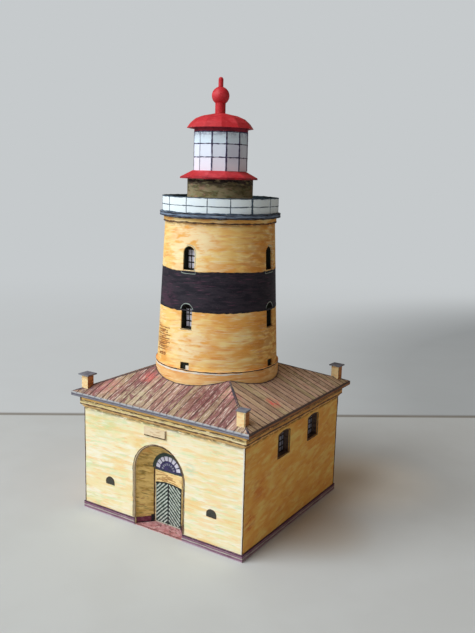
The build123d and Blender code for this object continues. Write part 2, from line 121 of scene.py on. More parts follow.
# places on the model: each takes how far along, how far up and how proud of the card
def onWall(turn, reach, centre=Vector((0, 0, 0))):
    c, s = turned(turn)

    def place(along, up, lift):
        out = reach + lift
        return Vector((centre.x + out * c - along * s, centre.y + out * s + along * c, up)) * mm
    return place


def onDrum(radius, turn=0.0):
    def place(along, up, lift):
        a = math.radians(turn) + along / radius
        return Vector(((radius + lift) * math.cos(a), (radius + lift) * math.sin(a), up)) * mm
    return place


def towerRadius(up):
    return high("tower_band").x - towerTaper * (up - bandLow)


def onTower(turn):
    return lambda along, up, lift: onDrum(towerRadius(up), turn)(along, up, lift)


def roofHeight(reach):
    return eaveTop + roofSlope * (eaveReach - reach)


def onRoof(turn):
    c, s = turned(turn)
    tall = math.hypot(1, roofSlope)

    def place(along, reach, lift):  # reach is how far out from the middle of the house
        out = reach + lift * roofSlope / tall
        return Vector((out * c - along * s, out * s + along * c, roofHeight(reach) + lift / tall)) * mm
    return place


def onJamb(side):
    # one splayed side of the doorway, along from the wall in to the door
    near = Vector((side * portalHalf, -wallReach + cardThick))
    way = (Vector((side * jambEnd, -doorReach)) - near).normalized()
    out = Vector((-side * abs(way.y), -abs(way.x)))

    def place(along, up, lift):
        at = near + way * along + out * lift
        return Vector((at.x, at.y, up)) * mm
    return place


def even(points, step):
    # the same path with a point at least every step
    out = [points[0]]
    for a, b in zip(points, points[1:]):
        n = max(1, math.ceil(math.dist(a, b) / step))
        out += [(a[0] + (b[0] - a[0]) * k / n, a[1] + (b[1] - a[1]) * k / n) for k in range(1, n + 1)]
    return out


def arc(x, y, radius, count=14):
    # over the top from left to right
    turns = [turned(180 - 180 * k / count) for k in range(count + 1)]
    return [(x + radius * c, y + radius * s) for c, s in turns]


class Sheet:
    # the drawing for one piece: pen and pencil lines are thin closed ribbons, ruled by one hand
    def __init__(self, hand):
        self.hand = hand
        self.verts = []
        self.faces = []

    def line(self, place, points, width, wobble=0.05, step=0.8, lift=inkLift, uneven=0.25):
        path = even(points, step)
        closed = math.dist(path[0], path[-1]) < 1e-6 and len(path) > 3
        if closed:
            path = path[:-1]
        n = len(path)
        drift, left, right = 0.0, [], []
        for k, (x, y) in enumerate(path):
            before = path[k - 1] if closed or k else path[k]
            after = path[(k + 1) % n] if closed or k < n - 1 else path[k]
            dx, dy = after[0] - before[0], after[1] - before[1]
            size = math.hypot(dx, dy) or 1.0
            drift = 0.7 * drift + self.hand.uniform(-1, 1) * wobble
            half = width / 2 * (1 + self.hand.uniform(-uneven, uneven))
            nx, ny = -dy / size, dx / size
            left.append((x + nx * (drift + half), y + ny * (drift + half)))
            right.append((x + nx * (drift - half), y + ny * (drift - half)))
        self.strip(place, left, right, closed, lift)

    def strip(self, place, left, right, closed=False, lift=inkLift):
        start, n = len(self.verts), len(left)
        for a, b in zip(left, right):
            self.verts += [place(*a, lift), place(*b, lift), place(*b, 0.0), place(*a, 0.0)]
        for k in range(n if closed else n - 1):
            p, q = start + 4 * k, start + 4 * ((k + 1) % n)
            self.faces += [(p + j, p + (j + 1) % 4, q + (j + 1) % 4, q + j) for j in range(4)]
        if not closed:
            e = start + 4 * (n - 1)
            self.faces += [(start + 3, start + 2, start + 1, start), (e, e + 1, e + 2, e + 3)]

    def patch(self, place, outline, lift=inkLift):
        # a flat filled shape with a convex outline
        start, n = len(self.verts), len(outline)
        self.verts += [place(*a, lift) for a in outline] + [place(*a, 0.0) for a in outline]
        self.faces += [tuple(range(start, start + n)), tuple(range(start + 2 * n - 1, start + n - 1, -1))]
        for k in range(n):
            m = (k + 1) % n
            self.faces.append((start + k, start + n + k, start + n + m, start + m))

    def box(self, place, left, right, foot, head, shake=0.06, lift=inkLift):
        # a pane or patch ruled by hand, so its corners aren't quite square
        self.patch(place, [(a + self.hand.uniform(-shake, shake), b + self.hand.uniform(-shake, shake))
                           for a, b in ((left, foot), (right, foot), (right, head), (left, head))], lift)

    def ring(self, radius, up, count, *pen):
        # a level line right round a drum
        self.line(onDrum(radius), [(2 * math.pi * radius * k / count, up) for k in range(count + 1)], *pen)

    def panes(self, place, left, width, foot, grid):
        for row in range(grid["rows"]):
            up = foot + grid["foot"] + grid["pitch"] * row
            for a, b in grid["columns"]:
                self.box(place, left + a * width, left + b * width, up, up + grid["tall"], 0.08)


def sheets(seed, count):
    # this many sheets, all drawn on by the same hand
    hand = random.Random(seed)
    return [Sheet(hand) for k in range(count)]


def addPiece(name, sheet, ink):
    mesh = bpy.data.meshes.new(name)
    mesh.from_pydata(sheet.verts, [], sheet.faces)
    mesh.validate()
    mesh.update()
    bm = bmesh.new()
    bm.from_mesh(mesh)
    bmesh.ops.recalc_face_normals(bm, faces=bm.faces)
    bm.to_mesh(mesh)
    bm.free()
    piece = bpy.data.objects.new(name, mesh)
    bpy.context.scene.collection.objects.link(piece)
    mesh.materials.append(inks[ink])
    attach(piece, "root")


# colours are given on the usual 0 to 255 scale
def tone(r, g, b):
    shares = [c / 255 for c in (r, g, b)]
    return tuple(((c + 0.055) / 1.055) ** 2.4 if c > 0.04 else c / 12.92 for c in shares) + (1.0,)


def feed(tree, socket, value):
    # a socket takes another node's output, a colour or a plain number
    if isinstance(value, bpy.types.NodeSocket):
        tree.links.new(value, socket)
    else:
        socket.default_value = tone(*value) if socket.type == "RGBA" else value


def put(tree, kind, links=None, **values):
    node = tree.nodes.new("ShaderNode" + kind)
    for key, value in values.items():
        setattr(node, key, value)
    for key, value in (links or {}).items():
        feed(tree, node.inputs[key], value)
    return node


class Card:
    # the material of a sheet while it is being coloured, and the place on the model in millimetres
    def __init__(self, name, rough=0.85):
        self.material = bpy.data.materials.new(name)
        self.material.use_nodes = True
        self.tree = self.material.node_tree
        self.shader = self.tree.nodes["Principled BSDF"]
        self.shader.inputs["Roughness"].default_value = rough
        self.shader.inputs["Specular IOR Level"].default_value = 0.25
        metres = put(self.tree, "TexCoord").outputs["Object"]
        self.place = self.vector("MULTIPLY", metres, (1000, 1000, 1000)).outputs[0]
        self.x, self.y, self.z = self.split(self.place)
        self.colour = None  # what lies on the card so far

    def vector(self, what, *values):
        return put(self.tree, "VectorMath", dict(enumerate(values)), operation=what)

    def split(self, place):
        return tuple(put(self.tree, "SeparateXYZ", {0: place}).outputs)

    def maths(self, what, *values):
        return put(self.tree, "Math", dict(enumerate(values)), operation=what).outputs[0]

    def times(self, first, *others):
        for value in others:
            first = self.maths("MULTIPLY", first, value)
        return first

    def between(self, value, start, end, least=0.0, most=1.0):
        node = put(self.tree, "MapRange", {"Value": value, "From Min": start, "From Max": end,
                                           "To Min": least, "To Max": most}, interpolation_type="SMOOTHSTEP")
        return node.outputs[0]

    def blend(self, factor, under, over):
        return put(self.tree, "Mix", {0: factor, 6: under, 7: over}, data_type="RGBA").outputs[2]

    def lay(self, over, factor):
        # one more colour over what is there
        self.colour = self.blend(factor, self.colour, over)

    def streaks(self, length, thick, seed, tilt=(0, 0, 0), detail=3.0):
        # noise drawn out level along the pencil's way
        way = put(self.tree, "Mapping", {"Vector": self.place, "Location": (seed, seed * 0.7, seed * 1.3),
                                         "Rotation": [math.radians(a) for a in tilt]})
        way = put(self.tree, "Mapping", {"Vector": way.outputs[0],
                                         "Scale": (1 / length, 1 / length, 1 / thick)})
        return put(self.tree, "TexNoise", {"Vector": way.outputs[0], "Scale": 1.0, "Detail": detail,
                                           "Roughness": 0.55, "Distortion": 0.25}).outputs["Fac"]

    def rub(self, length, thick, seed, start, end, strength=1.0):
        return self.between(self.streaks(length, thick, seed), start, end, 0.0, strength)

    def rubbed(self, under, over, *rub):
        # one pencil rubbed over another
        return self.blend(self.rub(*rub), under, over)

    def wavering(self, length, thick, seed, amount):
        # the height, as a hand that wavers along the sheet would rule it
        return self.maths("ADD", self.z, self.maths("MULTIPLY_ADD", self.streaks(length, thick, seed), amount,
                                                    -amount / 2))

    def isMore(self, one, other):
        # 1 where the first is further from nothing than the second
        return self.maths("GREATER_THAN", self.maths("ABSOLUTE", one), self.maths("ABSOLUTE", other))

    def lineAt(self, value, at, half, strength):
        # a soft pen line where the value passes this mark
        away = self.maths("ABSOLUTE", self.maths("SUBTRACT", value, at))
        return self.between(away, half, half * 0.35, 0.0, strength)

    def pencilAndLightSpot(self, at, size, strength):
        # a spot of colour round one point, used for pencil marks and for painted light and shade
        away = self.vector("DISTANCE", self.place, at).outputs["Value"]
        return self.between(away, size, size * 0.25, 0.0, strength)

    def spots(self, look, length, thick, start, tilt=(0, 0, 0)):
        for k, (over, at, size, strength) in enumerate(look.get("spots", [])):
            rub = self.between(self.streaks(length, thick, 17.0 + 3.3 * k, tilt), start, 0.56)
            self.lay(over, self.times(self.pencilAndLightSpot(at, size, strength), rub))

    def finish(self, bare=0.2, paper=(250, 246, 236), tooth=0.35):
        # the tooth of drawing paper over a slower unevenness, with bare paper between the grains
        fine = put(self.tree, "TexNoise", {"Vector": self.place, "Scale": 2.6, "Detail": 4.0,
                                           "Roughness": 0.6}).outputs["Fac"]
        slow = put(self.tree, "TexNoise", {"Vector": self.place, "Scale": 0.18, "Detail": 2.0}).outputs["Fac"]
        height = self.maths("MULTIPLY_ADD", fine, 0.35, slow)
        bump = put(self.tree, "Bump", {"Height": height, "Strength": tooth, "Distance": 0.00012})
        feed(self.tree, self.shader.inputs["Normal"], bump.outputs[0])
        self.lay(paper, self.between(fine, 0.56, 0.72, 0.0, bare))
        feed(self.tree, self.shader.inputs["Base Color"], self.colour)
        return self.material


def pencilled(name, look):
    # washes over the ground colour, then strokes, spots, and dark bands along level edges that are mostly
    # painted shade under overhangs
    card = Card(name, look.get("rough", 0.85))
    card.colour = look["ground"]
    tilt, seed, grain = look.get("tilt", (0, 0, 0)), look.get("seed", 0), look.get("fine", 0.3)
    for k, (over, start, end, size, strength) in enumerate(look.get("washes", [])):
        slow = card.streaks(size, size * 0.5, 41.0 + 9.1 * k + seed, tilt, 2.0)
        card.lay(over, card.between(slow, start, end, 0.0, strength))
    for k, (over, start, end, length, thick, strength) in enumerate(look.get("strokes", [])):
        broad = card.streaks(length, thick, 3.1 + 11.7 * k + seed, tilt)
        fine = card.streaks(length * 0.8, thick * 0.22, 5.9 + 7.3 * k, tilt, 2.0)
        both = card.maths("MULTIPLY_ADD", fine, grain, card.times(broad, 1.0 - grain / 2))
        card.lay(over, card.between(both, start + grain / 4, end + grain / 4, 0.0, strength))
    card.spots(look, 4.0, 1.2, 0.38, tilt)
    # dark bands along level edges: painted shade under the cornices and the lantern's skirt, and a dark rim
    # at the skirt's foot
    for k, (over, full, gone, strength) in enumerate(look.get("edges", [])):
        near = card.between(card.z, gone, full, 0.0, strength)
        card.lay(over, card.times(near, card.rub(2.6, 0.7, 29.0 + 5.1 * k + seed, 0.36, 0.54)))
    return card.finish(look.get("bare", 0.2), look.get("paper", (250, 246, 236)), look.get("tooth", 0.35))


def dress(material, *names):
    for name in names:
        slots = nodes[name].data.materials
        slots.clear()
        slots.append(material)


# strokes: colour, where it starts and is full on the noise, length, thickness, strength
# washes: colour, start, full, size, strength; spots: colour, place, size, strength
# edges: colour, height where it is full, height where it is gone, strength; most rows are painted shade under
# an overhang
creamLook = dict(
    ground=(250, 233, 180), tilt=(0, 3, 0), seed=1.0, bare=0.22, fine=0.15,
    washes=[((255, 247, 216), 0.44, 0.62, 9.0, 0.6), ((236, 238, 186), 0.50, 0.66, 8.0, 0.5)],
    strokes=[((255, 252, 234), 0.46, 0.64, 9.0, 1.3, 0.7),
             ((252, 210, 136), 0.49, 0.65, 9.0, 1.2, 0.6),
             ((212, 234, 186), 0.54, 0.68, 6.0, 1.2, 0.55),
             ((249, 190, 120), 0.58, 0.70, 6.0, 0.8, 0.5)],
    spots=[((206, 222, 152), (9 - wallReach, -wallReach, 34.5), 10.0, 0.4),
           ((188, 222, 196), (13.0, -wallReach, 26.5), 3.0, 0.5),
           ((246, 200, 112), (-8.0, -wallReach, 30.5), 5.0, 0.5)],
    # painted shade on the wall under the cornice
    edges=[((120, 106, 66), corniceFoot + 0.2, corniceFoot - 1.3, 0.85)])
ochreLook = dict(
    ground=(246, 185, 91), tilt=(-8, 0, 0), seed=4.0, bare=0.06, fine=0.2,
    washes=[((240, 164, 78), 0.44, 0.60, 9.0, 0.6), ((252, 222, 130), 0.50, 0.66, 11.0, 0.5)],
    strokes=[((255, 226, 140), 0.48, 0.66, 6.0, 1.8, 0.5),
             ((234, 150, 74), 0.48, 0.66, 6.0, 2.0, 0.5),
             ((226, 124, 68), 0.56, 0.72, 4.5, 1.6, 0.45)],
    # painted shade on the wall under the cornice
    edges=[((110, 76, 44), corniceFoot + 0.1, corniceFoot - 1.0, 0.85)])
rightLook = dict(ochreLook, spots=[((206, 84, 52), (wallReach, -29.6, 12.0), 4.2, 0.75),
                                   ((214, 100, 52), (wallReach, -25.0, 22.0), 6.0, 0.45)])
towerLook = dict(
    ground=(251, 211, 128), tilt=(3, 2, 0), seed=9.0, bare=0.1, fine=0.25,
    washes=[((238, 164, 74), 0.46, 0.60, 13.0, 0.75), ((255, 232, 168), 0.47, 0.62, 10.0, 0.6)],
    strokes=[((242, 172, 82), 0.46, 0.64, 9.0, 1.4, 0.55),
             ((255, 240, 200), 0.52, 0.66, 6.0, 0.6, 0.5),
             ((226, 134, 60), 0.52, 0.68, 7.0, 0.9, 0.55)],
    # spots: a brown pencil scribble low on the left, a darker orange over the right side away from the lamp,
    # and paler patches on the front toward the lamp
    spots=[((150, 96, 52), (-15.6, -15.0, 64.0), 9.0, 0.45), ((204, 128, 50), (21.0, 2.0, 92.0), 24.0, 0.6),
           ((204, 128, 50), (21.0, 2.0, 64.0), 18.0, 0.65), ((255, 240, 196), (2.0, -21.0, 97.0), 15.0, 0.7),
           ((255, 240, 200), (2.0, -22.0, 66.0), 13.0, 0.55)],
    # painted shade at the top of the tower wall, under its cornice
    edges=[((140, 100, 54), towerTop, towerTop - 1.6, 0.6)])
ringLook = dict(towerLook, ground=(250, 208, 144), seed=12.0, edges=[],
                washes=[((240, 176, 104), 0.44, 0.62, 9.0, 0.7)])
corniceRing = dict(towerLook, ground=(244, 204, 130), seed=15.0, edges=[], spots=[])
bandLook = dict(
    ground=(46, 40, 50), tilt=(3, 2, 0), seed=2.0, bare=0.12, rough=0.7, paper=(130, 118, 134),
    strokes=[((24, 22, 34), 0.44, 0.58, 6.0, 1.3, 0.85),
             ((104, 62, 84), 0.57, 0.68, 5.0, 0.45, 0.55)],
    spots=[((106, 60, 86), (-10.0, -18.0, bandLow + 2.5), 9.0, 0.25)])
jambLook = dict(
    ground=(232, 200, 128), tilt=(20, 0, 0), seed=7.5, bare=0.1,
    strokes=[((188, 146, 66), 0.44, 0.61, 4.0, 1.2, 0.75),
             ((250, 222, 146), 0.50, 0.66, 3.5, 0.9, 0.6),
             ((126, 106, 60), 0.52, 0.66, 4.6, 1.2, 0.75)],
    spots=[((226, 150, 74), (-8.0, -31.0, 29.0), 5.0, 0.6)])
thresholdLook = dict(
    ground=(194, 140, 142), seed=3.3, bare=0.25,
    strokes=[((168, 98, 100), 0.46, 0.62, 2.0, 1.4, 0.7),
             ((222, 188, 186), 0.52, 0.66, 1.6, 1.0, 0.7),
             ((112, 66, 72), 0.58, 0.68, 1.2, 0.9, 0.75)])
doorLook = dict(ground=(58, 72, 68), tilt=(0, 45, 0), seed=5.3, bare=0.08,
                strokes=[((38, 50, 50), 0.48, 0.62, 2.5, 0.5, 0.7)])
lintelLook = dict(
    ground=(250, 220, 156), seed=8.1, bare=0.2,
    strokes=[((206, 150, 84), 0.50, 0.64, 3.6, 0.7, 0.7),
             ((255, 238, 190), 0.52, 0.66, 3.0, 0.6, 0.6)])
fanlightLook = dict(ground=(72, 64, 112), seed=8.8, bare=0.05,
                    strokes=[((52, 64, 76), 0.48, 0.62, 1.6, 0.5, 0.7)])
ventLook = dict(ground=(70, 70, 64), seed=1.8, bare=0.05,
                strokes=[((46, 46, 42), 0.48, 0.62, 1.5, 0.4, 0.7)])
plaqueLook = dict(
    ground=(238, 218, 180), seed=2.6, bare=0.3,
    strokes=[((204, 164, 116), 0.50, 0.62, 3.0, 0.5, 0.7), ((246, 230, 204), 0.54, 0.66, 2.6, 0.5, 0.6)])
darkSheetLook = dict(ground=(54, 48, 48), seed=4.4, bare=0.03,
                     strokes=[((34, 30, 32), 0.48, 0.62, 2.0, 0.5, 0.7)])
# dark reveals round the tower windows; on the tower's vent panels this dark is painted shade
darkRevealLook = dict(ground=(40, 42, 34), seed=4.9, bare=0.03,
                      strokes=[((24, 30, 24), 0.48, 0.62, 1.5, 0.8, 0.7)])
brownRevealLook = dict(ground=(112, 92, 82), seed=4.1, bare=0.05,
                       strokes=[((70, 54, 48), 0.48, 0.62, 1.5, 0.8, 0.7)])
plainLook = dict(ground=(226, 218, 200), seed=0.4, bare=0.3,
                 strokes=[((214, 204, 184), 0.50, 0.66, 6.0, 6.0, 0.5)])
deckLook = dict(
    ground=(122, 138, 160), seed=0.9, bare=0.1, paper=(160, 172, 182),
    strokes=[((64, 78, 98), 0.46, 0.60, 4.0, 0.5, 0.75), ((160, 172, 184), 0.58, 0.68, 3.0, 0.25, 0.7)])
drumLook = dict(
    ground=(158, 146, 112), seed=6.6, bare=0.08,
    washes=[((132, 122, 78), 0.46, 0.60, 5.0, 0.7)],
    strokes=[((92, 82, 50), 0.48, 0.62, 3.0, 1.0, 0.8),
             ((186, 138, 120), 0.54, 0.66, 2.6, 0.8, 0.65),
             ((150, 162, 122), 0.56, 0.68, 2.2, 0.8, 0.6)],
    # painted shadow of the skirt over the top of the drum
    edges=[((46, 30, 36), high("lantern_drum").z - 1.2, high("lantern_drum").z - 5.0, 0.95)])
redLook = dict(
    ground=(198, 46, 54), seed=5.5, bare=0.05, rough=0.5, tooth=0.5,
    washes=[((222, 76, 84), 0.48, 0.62, 5.0, 0.5)],
    strokes=[((184, 32, 42), 0.46, 0.62, 2.5, 1.5, 0.65), ((232, 100, 100), 0.60, 0.72, 2.0, 0.8, 0.5)],
    edges=[((96, 20, 36), low("lantern_skirt").z, low("lantern_skirt").z + 1.5, 0.75)])
lanternBandLook = dict(ground=(150, 44, 62), seed=5.9, bare=0.03, rough=0.7,
                       strokes=[((104, 30, 50), 0.48, 0.62, 2.5, 0.8, 0.7)])
capLook = dict(ground=(128, 130, 140), seed=3.7, bare=0.15,
               strokes=[((92, 88, 102), 0.48, 0.62, 2.0, 0.5, 0.6)])

for name, look, *cards in (
        ("creamWall", creamLook, "front_wall"), ("rightWall", rightLook, "right_wall"),
        ("ochreWall", ochreLook, "left_wall", "back_wall"),
        ("towerWall", towerLook, "tower_wall_lower", "tower_wall_upper"),
        ("footRing", ringLook, "tower_ring"), ("topRing", corniceRing, "tower_cornice"),
        ("blackBand", bandLook, "tower_band"),
        ("jambCard", jambLook, "doorway_reveal"), ("thresholdCard", thresholdLook, "threshold"),
        ("doorCard", doorLook, "door_leaves"), ("lintelCard", lintelLook, "door_lintel"),
        ("fanlightCard", fanlightLook, "fanlight"), ("ventCard", ventLook, "wall_vents"),
        ("plaqueCard", plaqueLook, "wall_plaque"),
        ("darkSheet", darkSheetLook, "window_panes", "tower_window_panes"),
        ("darkReveal", darkRevealLook, "tower_window_reveals", "tower_vent_panels"),
        ("brownReveal", brownRevealLook, "window_reveals"),
        ("plainCard", plainLook, "base_sheet", "ceiling_sheet"), ("deckCard", deckLook, "gallery_deck"),
        ("drumCard", drumLook, "lantern_drum"),
        ("redCard", redLook, "lantern_skirt", "lantern_dome", "finial_neck", "finial_ball", "finial_spike"),
        ("redBand", lanternBandLook, "lantern_band"), ("capCard", capLook, "chimney_caps")):
    dress(pencilled(name, look), *cards)
print("plain sheets coloured")

boardWidth = 2.88  # the roof's boards
glazingRails = (127.4, 131.9)  # heights of the bars across the lantern's panes


def roofCard(name, look):
    # boards run down the slope, each coloured a little differently with strokes along it
    card = Card(name, 0.8)
    c, s = (float(round(part)) for part in turned(look["turn"]))
    out = card.times(card.x, c) if c else card.times(card.y, s)
    across = card.y if c else card.x
    board = card.maths("FLOOR", card.maths("DIVIDE", across, boardWidth))
    board = card.maths("ADD", board, look["seed"])
    dice = put(card.tree, "TexWhiteNoise", {"W": board}, noise_dimensions="1D")
    ramp = put(card.tree, "ValToRGB", {0: dice.outputs["Value"]})
    ramp.color_ramp.interpolation = "CONSTANT"
    stops = ramp.color_ramp.elements
    while len(stops) < len(look["boards"]):
        stops.new(0.5)
    for k, colour in enumerate(look["boards"]):
        stops[k].position = k / len(stops)
        stops[k].color = tone(*colour)
    card.colour = ramp.outputs[0]
    for k, (over, start, end, length, thick, strength) in enumerate(look["strokes"]):
        way = put(card.tree, "CombineXYZ", {0: card.maths("DIVIDE", across, thick),
                                            1: card.maths("DIVIDE", out, length), 2: 4.3 * k + look["seed"]})
        noise = put(card.tree, "TexNoise", {"Vector": way.outputs[0], "Scale": 1.0, "Detail": 3.0,
                                            "Distortion": 0.3})
        card.lay(over, card.between(noise.outputs["Fac"], start, end, 0.0, strength))
    card.spots(look, 2.0, 2.0, 0.36)
    return card.finish(0.4, (232, 222, 214))


mauveRoof = dict(
    boards=[(142, 98, 96), (186, 156, 136), (156, 112, 104), (176, 152, 124), (148, 102, 98),
            (182, 144, 130), (164, 124, 112)],
    strokes=[((112, 72, 74), 0.50, 0.64, 5.0, 0.6, 0.6),
             ((236, 220, 206), 0.54, 0.66, 3.0, 0.45, 0.7),
             ((184, 168, 128), 0.57, 0.68, 6.0, 0.9, 0.6)])
tanRoof = dict(
    boards=[(198, 168, 136), (180, 152, 116), (212, 176, 150), (192, 158, 134), (184, 162, 124),
            (168, 138, 112)],
    strokes=[((132, 104, 78), 0.50, 0.64, 5.0, 0.55, 0.55),
             ((228, 206, 178), 0.55, 0.68, 3.4, 0.4, 0.6),
             ((206, 140, 132), 0.60, 0.72, 6.0, 2.6, 0.5)])
roofTop = high("roof_front").z
dress(roofCard("roofFront", dict(mauveRoof, turn=-90, seed=3.0, spots=[
    ((222, 108, 104), (-13.5, -22.5, roofTop - 2.4), 4.6, 0.6),
    ((204, 196, 158), (-11.0, -33.0, roofTop - 6.6), 9.0, 0.6),
    ((206, 128, 128), (-25.0, -31.0, roofTop - 5.8), 7.0, 0.5),
    ((110, 52, 54), (13.0, -27.0, roofTop - 4.0), 12.0, 0.5),
    ((84, 60, 84), (-33.0, -34.0, roofTop - 7.4), 6.0, 0.7),
    ((224, 150, 148), (20.0, -22.0, roofTop - 2.0), 4.5, 0.6)])), "roof_front")
dress(roofCard("roofRight", dict(tanRoof, turn=0, seed=8.0, spots=[
    # spots: a small red pencil mark, and a paler patch on the back part of the slope, painted light where the
    # tower's shadow falls
    ((236, 96, 92), (31.0, -12.0, eaveTop + 2.5), 3.6, 0.85),
    ((236, 206, 180), (26.0, 20.0, eaveTop + 4.0), 17.0, 0.55)])), "roof_right")
dress(roofCard("roofBack", dict(mauveRoof, turn=90, seed=21.0)), "roof_back")
dress(roofCard("roofLeft", dict(tanRoof, turn=180, seed=33.0)), "roof_left")


def eaveCard():
    # front and back show the ends of the boards, the other two sides an orange-brown band
    card = Card("eaveCard", 0.75)
    foot = low("eave_edge").z
    height = card.wavering(6.0, 3.0, 2.2, 0.4)
    end = card.maths("FRACT", card.maths("DIVIDE", card.x, boardWidth))
    end = card.maths("ABSOLUTE", card.maths("SUBTRACT", end, 0.5))
    tops = card.times(card.between(height, eaveTop - 0.4, eaveTop - 0.2), card.between(end, 0.44, 0.34))
    card.colour = card.rubbed((148, 148, 156), (120, 120, 130), 3.0, 0.4, 7.7, 0.46, 0.60, 0.7)
    card.lay((206, 210, 212), card.times(tops, 0.7))
    card.lay((72, 70, 88), card.lineAt(height, eaveTop - 0.75, 0.24, 0.8))
    card.lay((84, 80, 96), card.lineAt(height, foot + 0.05, 0.2, 0.8))
    front = card.colour
    card.colour = card.rubbed((176, 118, 74), (132, 80, 50), 4.0, 0.6, 9.1, 0.46, 0.62, 0.8)
    card.lay((74, 66, 66), card.between(height, eaveTop - 0.7, eaveTop - 0.5, 0.0, 0.9))
    card.lay((70, 52, 44), card.lineAt(height, foot + 0.1, 0.2, 0.7))
    card.lay(front, card.isMore(card.y, card.x))
    return card.finish(0.15)


def corniceCard():
    # a moulding drawn as level bands of pencil, darker on the sides away from the doorway
    card = Card("corniceCard")
    height = card.wavering(9.0, 5.0, 5.1, 0.5)
    rub = card.rub(6.0, 0.6, 2.9, 0.46, 0.62, 0.7)
    card.colour = card.blend(rub, (244, 222, 158), (255, 244, 214))
    card.lay(card.blend(rub, (214, 152, 82), (240, 188, 112)), card.isMore(card.x, card.y))
    card.lay((250, 200, 116), card.between(height, corniceFoot + 3.05, corniceFoot + 3.3, 0.0, 0.95))
    card.lay((240, 184, 108), card.between(height, corniceFoot + 1.3, corniceFoot + 1.0, 0.0, 0.7))
    broken = card.rub(4.0, 1.0, 9.9, 0.40, 0.54)
    hatch = card.between(card.streaks(1.2, 0.5, 4.9), 0.36, 0.56, 0.2, 1.0)
    for at, half, over, strength in ((2.7, 0.55, (124, 106, 72), 0.75), (0.3, 0.5, (104, 84, 54), 0.85)):
        card.lay(over, card.times(card.lineAt(height, corniceFoot + at, half, strength), broken, hatch))
    return card.finish(0.12)


def plinthCard():
    # purple pencil with pale lines, a whitish foot and a dark top line
    card = Card("plinthCard")
    height = card.wavering(7.0, 5.0, 3.3, 0.4)
    card.colour = card.rubbed((140, 104, 126), (112, 70, 94), 5.0, 0.5, 1.9, 0.46, 0.60, 0.8)
    card.lay((202, 180, 194), card.rub(6.0, 0.3, 6.2, 0.50, 0.66, 0.4))
    card.lay((206, 196, 202), card.between(height, 0.45, 0.25, 0.0, 0.7))
    card.lay((62, 36, 56), card.lineAt(height, plinthTop - 0.15, 0.3, 0.9))
    return card.finish(0.2)


def chimneyCard():
    # pale to the front and orange-brown on the sides: the sides' own ochre, darkened further as painted shade
    card = Card("chimneyCard")
    facing = card.split(put(card.tree, "TexCoord").outputs["Normal"])
    rub = card.rub(1.5, 0.6, 3.7, 0.46, 0.62, 0.7)
    card.colour = card.blend(rub, (252, 226, 172), (250, 200, 136))
    card.lay(card.blend(rub, (200, 134, 80), (150, 92, 56)),
             card.between(card.maths("ABSOLUTE", facing[0]), 0.4, 0.6))
    return card.finish(0.2)


def parapetCard():
    # white outside, teal inside, with a dark cut edge along the top
    card = Card("parapetCard", 0.8)
    away = card.maths("SQRT", card.maths("ADD", card.times(card.x, card.x), card.times(card.y, card.y)))
    card.colour = card.rubbed((238, 250, 255), (228, 242, 255), 3.0, 2.0, 1.2, 0.5, 0.7, 0.5)
    inside = card.rubbed((80, 102, 110), (46, 64, 72), 3.0, 0.6, 3.2, 0.45, 0.62)
    card.lay(inside, card.maths("LESS_THAN", away, high("gallery_parapet").x - 0.2))
    card.lay((70, 84, 94), card.maths("GREATER_THAN", card.z, high("gallery_parapet").z - 0.04))
    return card.finish(0.1)


def glazingCard():
    # white card: bluish panes above, lilac in the middle, pinkish below, with painted shade on one facet
    # turned from the lamp and along the top under the band
    card = Card("glazingCard", 0.7)
    steps = [card.between(card.z, rail - 0.2, rail + 0.2) for rail in glazingRails]
    card.colour = card.blend(steps[0], (240, 240, 255), (232, 240, 255))
    card.lay((224, 242, 255), steps[1])
    # painted shade on the facet turned away from the lamp
    card.lay((186, 182, 206), card.pencilAndLightSpot((9.2, -4.6, 129.0), 5.5, 0.4))
    # painted shade along the top of the panes, under the band
    shade = card.between(card.z, glazingTop - 2.8, glazingTop - 0.2)
    card.lay((150, 156, 182), card.times(shade, card.rub(1.6, 1.0, 6.4, 0.40, 0.60), 0.7))
    return card.finish(0.1)


dress(eaveCard(), "eave_edge")
dress(corniceCard(), "wall_cornice")
dress(plinthCard(), "plinth_front", "plinth_back", "plinth_left", "plinth_right")
dress(chimneyCard(), "chimney_shafts")
dress(parapetCard(), "gallery_parapet")
dress(glazingCard(), "lantern_glazing")
print("all sheets coloured")

# pens and pale pencils: the colour of a line and the lighter one where the hand pressed less
inkTones = dict(
    brownInk=((84, 62, 46), (136, 104, 78)), umberInk=((112, 84, 60), (150, 116, 80)),
    blackInk=((34, 32, 40), (74, 68, 74)), greenInk=((62, 78, 72), (90, 104, 92)),
    violetInk=((60, 52, 88), (104, 96, 130)), blueInk=((66, 82, 98), (112, 128, 142)),
    ventInk=((70, 70, 64), (50, 50, 46)), ringInk=((186, 168, 136), (160, 142, 118)),
    scribblePencil=((156, 104, 58), (204, 146, 84)), streakPencil=((190, 144, 88), (222, 180, 120)),
    palePencil=((190, 190, 176), (226, 226, 212)), dimPencil=((150, 164, 156), (188, 196, 186)),
    paneWhite=((226, 226, 242), (206, 206, 226)), paneDim=((150, 152, 172), (104, 106, 128)),
    fanWhite=((228, 228, 246), (206, 206, 230)), purplePencil=((112, 54, 74), (150, 92, 110)),
    boardPencil=((196, 208, 200), (150, 166, 156)), roofInk=((92, 66, 60), (140, 112, 96)),
    hipInk=((66, 64, 78), (110, 104, 112)), paperAndHighlight=((240, 234, 220), (222, 212, 192)))
inks = {name: pencilled(name, dict(ground=colour, rough=0.7, seed=2.0, bare=0.04, tooth=0.15,
                                   strokes=[(lighter, 0.50, 0.66, 1.6, 1.6, 0.6)]))
        for name, (colour, lighter) in inkTones.items()}
print("pens ready")

front = onWall(-90, wallReach)
archSpring = 20.85  # height where the splayed arch over the doorway starts
ventSpring = 12.85  # height where a vent's round head starts
portalRing = dict(x=-0.2, radius=11.1, spring=20.5)


